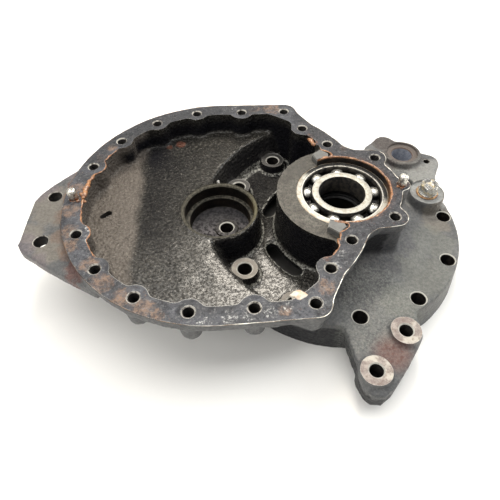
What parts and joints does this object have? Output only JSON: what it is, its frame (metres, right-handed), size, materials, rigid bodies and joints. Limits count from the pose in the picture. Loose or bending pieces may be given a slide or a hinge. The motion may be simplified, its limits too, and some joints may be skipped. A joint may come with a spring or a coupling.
{
  "type": "gear case half with bearing",
  "caption": "Cast iron gear case half with a ball bearing, shaft seal, idler bearing pocket, bolted joint face, disc flange, mounting ear and bracket.",
  "frame": {"origin": "centre of the bearing's bore at the bearing's upper face", "axes": "+Z along the bearing's axis, out of the open side of the case; +X from the idler pocket's centre to the bearing"},
  "size_m": [0.3845, 0.2985, 0.085],
  "materials": {
    "case_iron": "oily cast iron, machined faces with rust",
    "ring_steel": "ground bearing steel",
    "ball_steel": "polished bearing steel",
    "cage_steel": "pressed steel, oily",
    "seal_steel": "dark coated steel",
    "seal_rubber": "black nitrile rubber",
    "pin_steel": "ground pin, lightly rusted",
    "plug_zinc": "yellow zinc plated steel",
    "washer_copper": "used soft sealing washer",
    "sealant": "torn copper-coloured sealant with rust"
  },
  "bodies": {
    "case": {"gear_case": "case_iron", "bearing_outer_ring": "ring_steel", "seal_case": "seal_steel", "seal_lip": "seal_rubber", "garter_spring": "pin_steel", "dowel_pin_left": "pin_steel", "dowel_pin_right": "pin_steel", "filler_plug": "plug_zinc", "plug_washer": "washer_copper", "sealant_bead": "sealant"},
    "inner_ring": {"bearing_inner_ring": "ring_steel"},
    "cage": {"cage_front": "cage_steel", "cage_back": "cage_steel", "cage_rivets": "cage_steel"},
    "ball_1": {"ball_1": "ball_steel"},
    "ball_2": {"ball_2": "ball_steel"},
    "ball_3": {"ball_3": "ball_steel"},
    "ball_4": {"ball_4": "ball_steel"},
    "ball_5": {"ball_5": "ball_steel"},
    "ball_6": {"ball_6": "ball_steel"},
    "ball_7": {"ball_7": "ball_steel"},
    "ball_8": {"ball_8": "ball_steel"},
    "ball_9": {"ball_9": "ball_steel"}
  },
  "joints": [
    {"name": "inner_ring_spin", "type": "hinge", "parent": "case", "child": "inner_ring", "pos_m": [0, 0, -0.009], "axis": [0, 0, 1], "continuous": true},
    {"name": "cage_spin", "type": "hinge", "parent": "case", "child": "cage", "pos_m": [0, 0, -0.009], "axis": [0, 0, 1], "continuous": true},
    {"name": "ball_1_spin", "type": "hinge", "parent": "cage", "child": "ball_1", "pos_m": [0.02978, 0.00366, -0.009], "axis": [0, 0, 1], "continuous": true},
    {"name": "ball_2_spin", "type": "hinge", "parent": "cage", "child": "ball_2", "pos_m": [0.02046, 0.02194, -0.009], "axis": [0, 0, 1], "continuous": true},
    {"name": "ball_3_spin", "type": "hinge", "parent": "cage", "child": "ball_3", "pos_m": [0.00157, 0.02996, -0.009], "axis": [0, 0, 1], "continuous": true},
    {"name": "ball_4_spin", "type": "hinge", "parent": "cage", "child": "ball_4", "pos_m": [-0.01805, 0.02396, -0.009], "axis": [0, 0, 1], "continuous": true},
    {"name": "ball_5_spin", "type": "hinge", "parent": "cage", "child": "ball_5", "pos_m": [-0.02923, 0.00675, -0.009], "axis": [0, 0, 1], "continuous": true},
    {"name": "ball_6_spin", "type": "hinge", "parent": "cage", "child": "ball_6", "pos_m": [-0.02673, -0.01362, -0.009], "axis": [0, 0, 1], "continuous": true},
    {"name": "ball_7_spin", "type": "hinge", "parent": "cage", "child": "ball_7", "pos_m": [-0.01172, -0.02762, -0.009], "axis": [0, 0, 1], "continuous": true},
    {"name": "ball_8_spin", "type": "hinge", "parent": "cage", "child": "ball_8", "pos_m": [0.00877, -0.02869, -0.009], "axis": [0, 0, 1], "continuous": true},
    {"name": "ball_9_spin", "type": "hinge", "parent": "cage", "child": "ball_9", "pos_m": [0.02516, -0.01634, -0.009], "axis": [0, 0, 1], "continuous": true}
  ],
  "couplings": [
    {"joint": "cage_spin", "follows": "inner_ring_spin", "ratio": 0.4},
    {"joint": "ball_1_spin", "follows": "inner_ring_spin", "ratio": -2.4},
    {"joint": "ball_2_spin", "follows": "inner_ring_spin", "ratio": -2.4},
    {"joint": "ball_3_spin", "follows": "inner_ring_spin", "ratio": -2.4},
    {"joint": "ball_4_spin", "follows": "inner_ring_spin", "ratio": -2.4},
    {"joint": "ball_5_spin", "follows": "inner_ring_spin", "ratio": -2.4},
    {"joint": "ball_6_spin", "follows": "inner_ring_spin", "ratio": -2.4},
    {"joint": "ball_7_spin", "follows": "inner_ring_spin", "ratio": -2.4},
    {"joint": "ball_8_spin", "follows": "inner_ring_spin", "ratio": -2.4},
    {"joint": "ball_9_spin", "follows": "inner_ring_spin", "ratio": -2.4}
  ]
}
